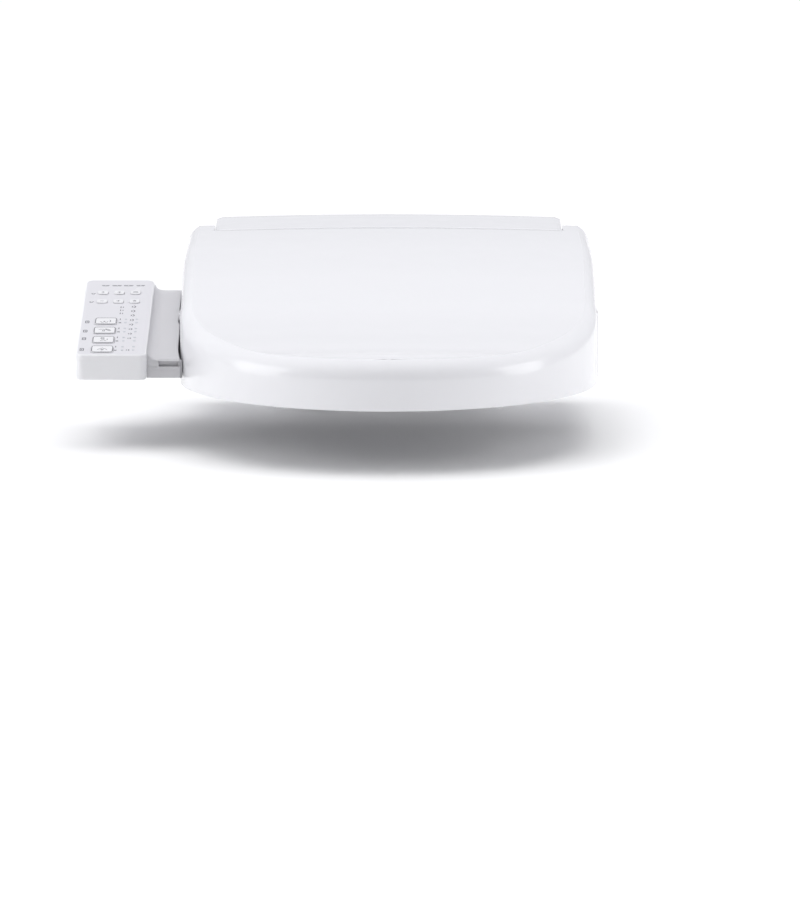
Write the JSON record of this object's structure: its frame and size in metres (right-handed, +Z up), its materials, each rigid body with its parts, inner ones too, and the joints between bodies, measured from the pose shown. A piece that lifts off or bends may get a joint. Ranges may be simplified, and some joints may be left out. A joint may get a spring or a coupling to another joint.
{
  "type": "electric bidet seat",
  "caption": "Electric bidet seat with a lid that covers the seat, a hinged seat ring, a base unit with a sliding wash wand, and a sloping side control panel.",
  "frame": {"origin": "midway between the two bowl bolts, on the plane of the bowl's rim that the unit rests on", "axes": "+X to the right seen from the front, away from the control panel; -Y towards the front of the bowl; +Z up"},
  "size_m": [0.4795, 0.518, 0.1814],
  "materials": {
    "lid_plastic": "high gloss",
    "seat_plastic": "gloss",
    "housing_plastic": "gloss",
    "panel_plastic": "satin gloss",
    "key_plastic": "satin",
    "lens": "clear",
    "grey_plastic": "satin",
    "black_plastic": "matte",
    "soft_rubber": "matte",
    "dark_rubber": "matte",
    "steel": "brushed",
    "brass_parts": "machined",
    "board": "solder resist",
    "foil": "foil",
    "nylon": "natural"
  },
  "bodies": {
    "mount": {"mounting_plate": "grey_plastic", "mounting_bolts": "steel", "bolt_bushings": "dark_rubber", "bolt_washers": "nylon", "wing_nuts": "nylon"},
    "base_unit": {"lower_housing": "housing_plastic", "upper_cover": "housing_plastic", "strip_cover": "housing_plastic", "base_pads": "soft_rubber", "hinge_shafts": "steel", "soft_close_dampers": "black_plastic", "side_arm": "housing_plastic", "panel_case": "panel_plastic", "panel_cover": "panel_plastic", "panel_board": "board", "indicator_lenses": "lens", "water_inlet": "brass_parts", "solenoid_valve": "nylon", "heater_tank": "grey_plastic", "air_pump": "black_plastic", "feed_hose": "soft_rubber", "blower_housing": "black_plastic", "blower_motor": "steel", "dryer_duct": "black_plastic", "dryer_heater": "foil", "deodoriser_housing": "black_plastic", "main_board": "board", "power_box": "black_plastic", "cord_gland": "grey_plastic", "nozzle_carrier": "nylon", "wand_motor": "steel"},
    "wand": {"wand_tube": "steel", "wand_tip": "nylon"},
    "drive_pinion": {"wand_pinion": "nylon"},
    "blower_rotor": {"blower_wheel": "nylon"},
    "flap": {"dryer_flap": "housing_plastic"},
    "fan_rotor": {"deodoriser_wheel": "nylon"},
    "filter_drawer": {"filter_cartridge": "housing_plastic"},
    "release": {"release_button": "grey_plastic"},
    "function_key_1": {"function_key_1": "key_plastic"},
    "function_key_2": {"function_key_2": "key_plastic"},
    "function_key_3": {"function_key_3": "key_plastic"},
    "function_key_4": {"function_key_4": "key_plastic"},
    "setting_key_1": {"setting_key_1": "key_plastic"},
    "setting_key_2": {"setting_key_2": "key_plastic"},
    "setting_key_3": {"setting_key_3": "key_plastic"},
    "setting_key_4": {"setting_key_4": "key_plastic"},
    "setting_key_5": {"setting_key_5": "key_plastic"},
    "setting_key_6": {"setting_key_6": "key_plastic"},
    "seat": {"seat_top_shell": "seat_plastic", "seat_bottom_shell": "seat_plastic", "seat_heater_sheet": "foil", "seat_bumpers": "soft_rubber"},
    "lid": {"lid_shell": "lid_plastic", "lid_bumpers": "soft_rubber"}
  },
  "joints": [
    {"name": "base_slide", "type": "slide", "parent": "mount", "child": "base_unit", "axis": [0, -1, 0], "range_m": [0, 0.045]},
    {"name": "seat_hinge", "type": "hinge", "parent": "base_unit", "child": "seat", "pos_m": [0, 0.002, 0.11], "axis": [-1, 0, 0], "range_deg": [0, 105]},
    {"name": "lid_hinge", "type": "hinge", "parent": "seat", "child": "lid", "pos_m": [0, 0.002, 0.11], "axis": [1, 0, 0], "range_deg": [-108, 0]},
    {"name": "wand_slide", "type": "slide", "parent": "base_unit", "child": "wand", "axis": [0, -0.866, -0.5], "range_m": [0, 0.105]},
    {"name": "pinion_spin", "type": "hinge", "parent": "base_unit", "child": "drive_pinion", "pos_m": [0, -0.07757, 0.02036], "axis": [1, 0, 0], "range_deg": [0, 1010]},
    {"name": "blower_spin", "type": "hinge", "parent": "base_unit", "child": "blower_rotor", "pos_m": [-0.075, -0.022, 0.03], "axis": [0, 0, 1], "continuous": true},
    {"name": "fan_spin", "type": "hinge", "parent": "base_unit", "child": "fan_rotor", "pos_m": [0.131, -0.08, 0.029], "axis": [1, 0, 0], "continuous": true},
    {"name": "flap_swing", "type": "hinge", "parent": "base_unit", "child": "flap", "pos_m": [-0.046, -0.1124, 0.0396], "axis": [-1, 0, 0], "range_deg": [0, 60]},
    {"name": "filter_slide", "type": "slide", "parent": "base_unit", "child": "filter_drawer", "axis": [1, 0, 0], "range_m": [0, 0.045]},
    {"name": "release_press", "type": "slide", "parent": "base_unit", "child": "release", "axis": [-1, 0, 0], "range_m": [0, 0.003], "stiffness_N_per_m": 600, "springref_m": -0.002},
    {"name": "function_key_1_press", "type": "slide", "parent": "base_unit", "child": "function_key_1", "axis": [0, 0.256, -0.9667], "range_m": [0, 0.0004], "stiffness_N_per_m": 1000, "springref_m": -0.0008},
    {"name": "function_key_2_press", "type": "slide", "parent": "base_unit", "child": "function_key_2", "axis": [0, 0.256, -0.9667], "range_m": [0, 0.0004], "stiffness_N_per_m": 1000, "springref_m": -0.0008},
    {"name": "function_key_3_press", "type": "slide", "parent": "base_unit", "child": "function_key_3", "axis": [0, 0.256, -0.9667], "range_m": [0, 0.0004], "stiffness_N_per_m": 1000, "springref_m": -0.0008},
    {"name": "function_key_4_press", "type": "slide", "parent": "base_unit", "child": "function_key_4", "axis": [0, 0.256, -0.9667], "range_m": [0, 0.0004], "stiffness_N_per_m": 1000, "springref_m": -0.0008},
    {"name": "setting_key_1_press", "type": "slide", "parent": "base_unit", "child": "setting_key_1", "axis": [0, 0.256, -0.9667], "range_m": [0, 0.0004], "stiffness_N_per_m": 1000, "springref_m": -0.0008},
    {"name": "setting_key_2_press", "type": "slide", "parent": "base_unit", "child": "setting_key_2", "axis": [0, 0.256, -0.9667], "range_m": [0, 0.0004], "stiffness_N_per_m": 1000, "springref_m": -0.0008},
    {"name": "setting_key_3_press", "type": "slide", "parent": "base_unit", "child": "setting_key_3", "axis": [0, 0.256, -0.9667], "range_m": [0, 0.0004], "stiffness_N_per_m": 1000, "springref_m": -0.0008},
    {"name": "setting_key_4_press", "type": "slide", "parent": "base_unit", "child": "setting_key_4", "axis": [0, 0.256, -0.9667], "range_m": [0, 0.0004], "stiffness_N_per_m": 1000, "springref_m": -0.0008},
    {"name": "setting_key_5_press", "type": "slide", "parent": "base_unit", "child": "setting_key_5", "axis": [0, 0.256, -0.9667], "range_m": [0, 0.0004], "stiffness_N_per_m": 1000, "springref_m": -0.0008},
    {"name": "setting_key_6_press", "type": "slide", "parent": "base_unit", "child": "setting_key_6", "axis": [0, 0.256, -0.9667], "range_m": [0, 0.0004], "stiffness_N_per_m": 1000, "springref_m": -0.0008}
  ],
  "couplings": [
    {"joint": "pinion_spin", "follows": "wand_slide", "rad_per_m": 166.67}
  ]
}
